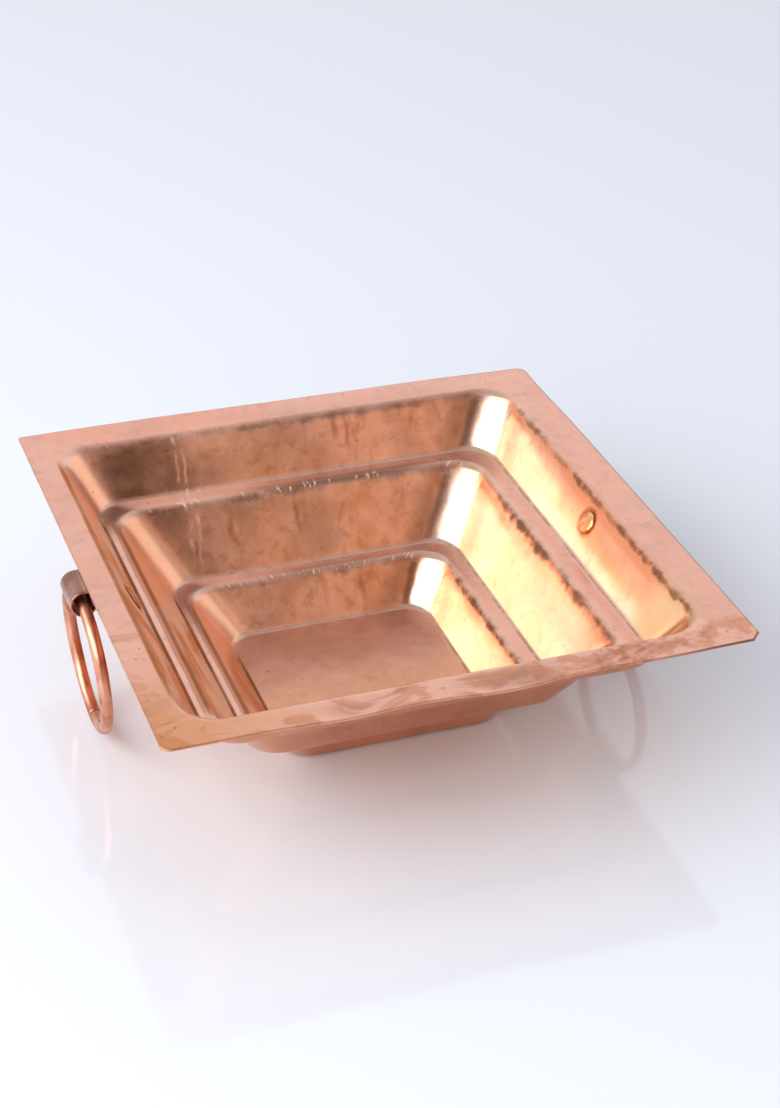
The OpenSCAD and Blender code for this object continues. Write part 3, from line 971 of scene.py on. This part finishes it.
def wire_material():
    s = Shader("ring_copper")
    lines = s.noise(1.0, s.draw_map((2600.0, 60.0, 1.0)), detail=2.0)
    cloud = s.noise(120.0, detail=3.0)
    colour = s.mix(s.ease(cloud, 0.4, 0.7), WIRE_LIGHT, WIRE_DEEP)
    colour = s.mix(s.ease(lines, 0.5, 0.75, 0.0, 0.35), colour, TARNISH)
    colour = s.mix(s.ease(s.noise(260.0, detail=4.0), 0.54, 0.72, 0.0, 0.6), colour, TARNISH)
    rough = s.ease(cloud, 0.3, 0.7, 0.28, 0.42)
    normal = s.bump(lines, WIRE_LINE_DEPTH)
    normal = s.bump(s.noise(420.0, detail=2.0), WIRE_DENT_DEPTH, normal)
    return s.finish(colour, rough, normal)


def strap_material():
    s = Shader("strap_copper")
    cloud = s.noise(150.0, detail=4.0)
    lines = s.noise(420.0, s.stretch((1.0, 0.06, 1.0)), detail=3.0)
    colour = s.mix(s.ease(cloud, 0.35, 0.7), STRAP_LIGHT, STRAP_DEEP)
    colour = s.mix(s.ease(lines, 0.45, 0.7, 0.0, 0.6), colour, STRAP_LINES)
    colour = s.mix(s.ease(s.noise(500.0, detail=3.0), 0.62, 0.75, 0.0, 0.5), colour, TARNISH)
    rough = s.ease(cloud, 0.3, 0.7, 0.13, 0.22)
    normal = s.bump(lines, STRAP_LINE_DEPTH)
    return s.finish(colour, rough, normal)


def rivet_material():
    s = Shader("rivet_copper")
    foot = s.layer("foot")
    cloud = s.noise(500.0, detail=4.0)
    colour = s.mix(s.ease(cloud, 0.4, 0.7), RIVET_LIGHT, RIVET_DEEP)
    # Painted shade towards the edge of each dome, where the rivet meets the sheet
    colour = s.mix(s.ease(foot, 0.5, 0.8, 0.0, 0.9), colour, RIVET_FOOT_SHADE)
    rough = s.ease(cloud, 0.3, 0.7, 0.2, 0.34)
    normal = s.bump(s.noise(1400.0, detail=2.0), RIVET_DENT_DEPTH)
    return s.finish(colour, rough, normal)


# Pieces on their bodies

def dress(piece, material, body, node):
    piece.data.materials.append(material)
    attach(piece, body)
    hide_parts(node)


def make_object():
    dress(make_pan(), pan_material(), "kund", "kund_pan")
    strap, rivet, wire = strap_material(), rivet_material(), wire_material()
    for side, word in SIDES.items():
        dress(make_strap(side), strap, "kund", "ring_strap_" + word)
        dress(make_rivet(side), rivet, "kund", "rivet_" + word)
        dress(make_ring(side), wire, word + "_ring", "ring_handle_" + word)


# Table, light and camera

TABLE_SIZE = 8.0
TABLE_COLOUR = (0.795, 0.84, 0.90, 1.0)
TABLE_ROUGHNESS = 0.09
TABLE_IOR = 1.7


def make_table():
    """Glossy table top under the pan, the floor of the scene."""
    mesh = bpy.data.meshes.new("floor")
    half = TABLE_SIZE / 2
    corners = [(-half, -half, 0), (half, -half, 0), (half, half, 0), (-half, half, 0)]
    mesh.from_pydata(corners, [], [(0, 1, 2, 3)])
    floor = bpy.data.objects.new("floor", mesh)
    bpy.context.scene.collection.objects.link(floor)
    material = bpy.data.materials.new("floor_gloss")
    material.use_nodes = True
    surface = material.node_tree.nodes["Principled BSDF"]
    surface.inputs["Base Color"].default_value = TABLE_COLOUR
    surface.inputs["Roughness"].default_value = TABLE_ROUGHNESS
    surface.inputs["IOR"].default_value = TABLE_IOR
    mesh.materials.append(material)


SKY = (0.875, 0.90, 0.975, 1.0)
# Colour and middle of each zone of the surroundings, with the cosines where it starts and is full
ZONES = (
    ((0.30, 0.265, 0.265, 1.0), (0.35, -0.88, 0.32), 0.15, 0.75),
    ((0.52, 0.56, 0.63, 1.0), (0.0, 0.0, 1.0), 0.6, 0.92),
    ((1.05, 0.80, 0.64, 1.0), (0.93, -0.1, 0.36), 0.85, 0.96),
    ((0.84, 0.55, 0.41, 1.0), (0.36, -0.83, 0.42), 0.85, 0.95),
    ((0.22, 0.15, 0.115, 1.0), (-0.05, -0.89, 0.455), 0.945, 0.98),
    ((0.22, 0.15, 0.115, 1.0), (-0.33, -0.82, 0.455), 0.945, 0.98),
)


def make_world():
    """Pale surroundings, dimmer overhead, with a warm room in front and a dark stretch in it."""
    world = bpy.data.worlds.new("studio")
    bpy.context.scene.world = world
    world.use_nodes = True
    nodes, links = world.node_tree.nodes, world.node_tree.links
    way = nodes.new("ShaderNodeTexCoord").outputs["Generated"]
    last = None
    for colour, centre, start, full in ZONES:
        facing = nodes.new("ShaderNodeVectorMath")
        facing.operation = "DOT_PRODUCT"
        links.new(way, facing.inputs[0])
        facing.inputs[1].default_value = Vector(centre).normalized()
        share = nodes.new("ShaderNodeMapRange")
        share.interpolation_type = "SMOOTHSTEP"
        links.new(facing.outputs["Value"], share.inputs["Value"])
        share.inputs["From Min"].default_value = start
        share.inputs["From Max"].default_value = full
        mix = nodes.new("ShaderNodeMix")
        mix.data_type = "RGBA"
        links.new(share.outputs[0], mix.inputs[MIX_SHARE])
        mix.inputs[MIX_FIRST].default_value = SKY
        if last is not None:
            links.new(last, mix.inputs[MIX_FIRST])
        mix.inputs[MIX_SECOND].default_value = colour
        last = mix.outputs[MIX_RESULT]
    links.new(last, nodes["Background"].inputs["Color"])


# Direction and distance of the lamp, with its size and power
KEY_WAY = (-0.80, -0.25, 0.545)
KEY_FAR = 1.0
KEY_SIZE = (1.9, 0.8)
KEY_POWER = 15.0


def make_lamp():
    """One large soft lamp on the front left."""
    data = bpy.data.lights.new("soft_lamp", "AREA")
    data.shape = "RECTANGLE"
    data.size, data.size_y = KEY_SIZE
    data.energy = KEY_POWER
    lamp = bpy.data.objects.new("soft_lamp", data)
    way = Vector(KEY_WAY).normalized()
    lamp.location = way * KEY_FAR
    lamp.rotation_euler = way.to_track_quat("Z", "Y").to_euler()
    bpy.context.scene.collection.objects.link(lamp)


# Place of the camera, its turn, dip and roll in degrees, and its lens in millimetres
CAMERA_PLACE = (-177.2 * MM, -476.1 * MM, 353.9 * MM)
CAMERA_TURN = 21.09
CAMERA_DIP = 31.77
CAMERA_ROLL = 1.97
CAMERA_LENS = 73.92


def make_camera():
    data = bpy.data.cameras.new("camera")
    data.lens = CAMERA_LENS
    camera = bpy.data.objects.new("camera", data)
    turn = Matrix.Rotation(math.radians(-CAMERA_TURN), 4, "Z")
    dip = Matrix.Rotation(math.radians(90 - CAMERA_DIP), 4, "X")
    roll = Matrix.Rotation(math.radians(CAMERA_ROLL), 4, "Z")
    camera.matrix_world = Matrix.Translation(CAMERA_PLACE) @ turn @ dip @ roll
    bpy.context.scene.collection.objects.link(camera)
    bpy.context.scene.camera = camera


make_object()
make_table()
make_world()
make_lamp()
make_camera()
bpy.context.scene.view_settings.view_transform = "Standard"
